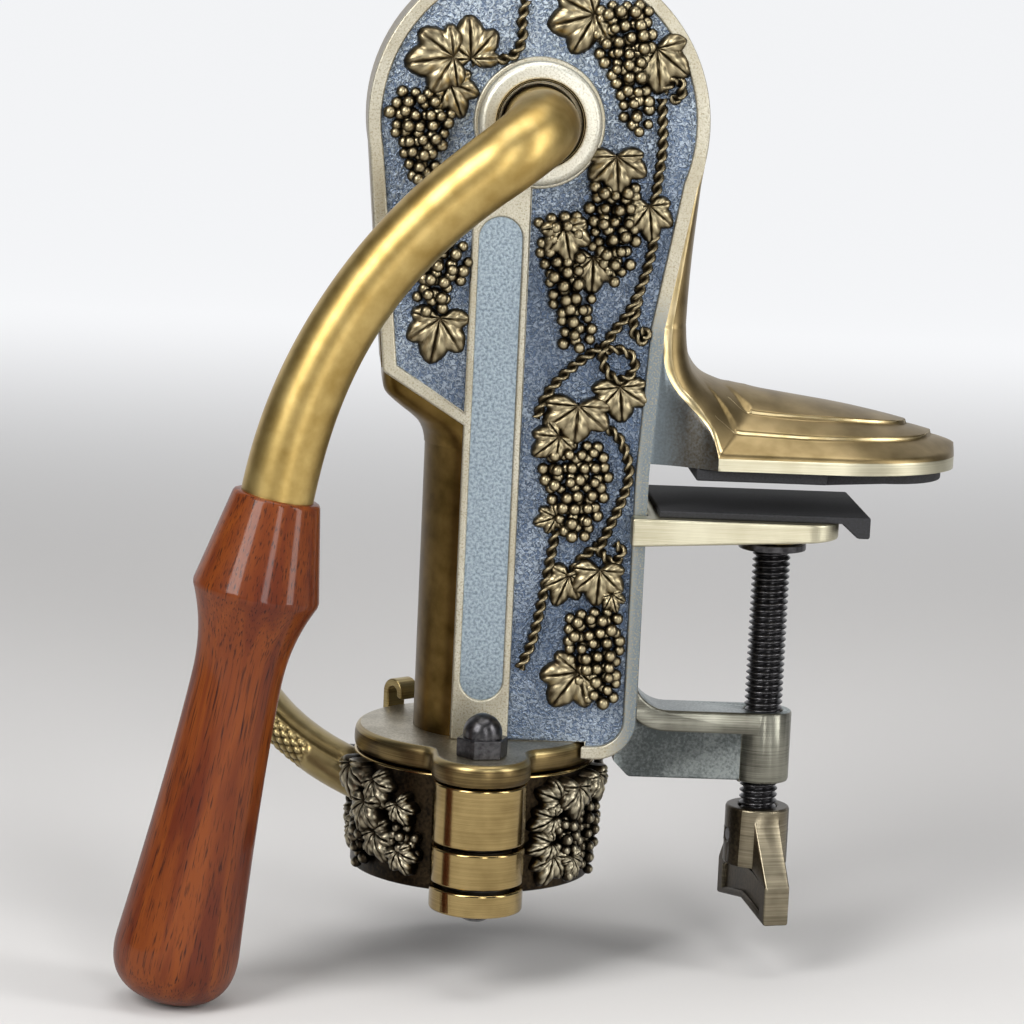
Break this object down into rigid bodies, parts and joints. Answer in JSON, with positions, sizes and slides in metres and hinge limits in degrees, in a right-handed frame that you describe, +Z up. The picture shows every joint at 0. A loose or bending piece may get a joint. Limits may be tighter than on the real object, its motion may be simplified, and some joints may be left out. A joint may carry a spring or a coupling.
{
  "type": "countertop corkscrew",
  "caption": "Counter-clamped lever corkscrew: a swinging handle gears a worm down through a column into a bottle held in a hinged collar.",
  "frame": {"origin": "middle of the rubber seat under the foot, where it rests on the counter", "axes": "+Z up, +X from the bottle towards the counter, -Y towards the handle side"},
  "size_m": [0.2016, 0.093, 0.2511],
  "materials": {
    "cast_bronze": "antiqued cast metal, dark in the hollows and rubbed bright on the edges",
    "cover_bronze": "antiqued cast metal with a rubbed champagne rim",
    "clamp_brass": "brushed antique brass",
    "satin_brass": "satin polished brass",
    "plain_brass": "machined brass",
    "bright_steel": "ground steel",
    "black_steel": "black oxide",
    "lacquered_wood": "stained hardwood under clear lacquer",
    "black_rubber": "moulded rubber",
    "black_nylon": "moulded nylon"
  },
  "bodies": {
    "frame": {"frame_casting": "cast_bronze", "front_cover": "cover_bronze", "rear_cover": "cover_bronze", "hub_ring": "cover_bronze", "front_bushing": "plain_brass", "rear_bushing": "plain_brass", "idler_axle": "bright_steel", "idler_spacer": "plain_brass", "rack_guide": "black_nylon", "cover_screws": "black_steel", "base_plate": "cast_bronze", "base_screws": "black_steel", "worm_nut": "plain_brass", "guide_pins": "bright_steel", "lip_cushion": "black_rubber", "fixed_jaw": "cast_bronze", "fixed_liner": "black_rubber", "jaw_screws": "black_steel", "hinge_pin": "black_steel", "acorn_nut": "black_steel", "knuckle_washers": "black_nylon", "foot_pad": "black_rubber"},
    "handle": {"handle_arm": "satin_brass", "wooden_grip": "lacquered_wood", "grip_bolt": "bright_steel", "drive_shaft": "bright_steel", "drive_gear": "plain_brass", "gear_key": "bright_steel", "end_washer": "black_steel", "end_screw": "black_steel"},
    "idler": {"idler_gear": "bright_steel"},
    "carriage": {"carriage": "plain_brass", "rack": "bright_steel", "rack_pin": "bright_steel", "thrust_washer": "plain_brass", "swivel_pins": "bright_steel"},
    "worm": {"worm": "bright_steel"},
    "jaw": {"moving_jaw": "cast_bronze", "moving_liner": "black_rubber", "jaw_lever": "cast_bronze", "guide_hook": "cover_bronze"},
    "clamp": {"pressure_plate": "clamp_brass", "pressure_pad": "black_rubber", "swivel_collar": "clamp_brass"},
    "screw": {"clamp_screw": "black_steel", "screw_washer": "black_steel", "thumb_key": "clamp_brass", "key_pin": "black_steel"}
  },
  "joints": [
    {"name": "handle_turn", "type": "hinge", "parent": "frame", "child": "handle", "pos_m": [-0.072, 0, 0.0842], "axis": [0, 1, 0], "range_deg": [0, 170]},
    {"name": "idler_turn", "type": "hinge", "parent": "frame", "child": "idler", "pos_m": [-0.07, 0, 0.05427], "axis": [0, 1, 0], "range_deg": [-256, 0]},
    {"name": "carriage_slide", "type": "slide", "parent": "frame", "child": "carriage", "axis": [0, 0, -1], "range_m": [0, 0.05342]},
    {"name": "worm_spin", "type": "hinge", "parent": "carriage", "child": "worm", "pos_m": [-0.08, 0, 0.0132], "axis": [0, 0, 1], "range_deg": [-2137.28, 0]},
    {"name": "jaw_swing", "type": "hinge", "parent": "frame", "child": "jaw", "pos_m": [-0.08, -0.034, -0.0868], "axis": [0, 0, 1], "range_deg": [0, 28]},
    {"name": "clamp_lift", "type": "slide", "parent": "frame", "child": "clamp", "axis": [0, 0, 1], "range_m": [-0.032, 0.006]},
    {"name": "screw_turn", "type": "hinge", "parent": "clamp", "child": "screw", "pos_m": [-0.0082, 0, -0.0468], "axis": [0, 0, 1], "range_deg": [-7300, 1400]}
  ],
  "couplings": [
    {"joint": "idler_turn", "follows": "handle_turn", "ratio": -1.5},
    {"joint": "carriage_slide", "follows": "handle_turn", "m_per_rad": 0.018},
    {"joint": "worm_spin", "follows": "handle_turn", "ratio": -12.566},
    {"joint": "screw_turn", "follows": "clamp_lift", "rad_per_m": 3957.9}
  ]
}
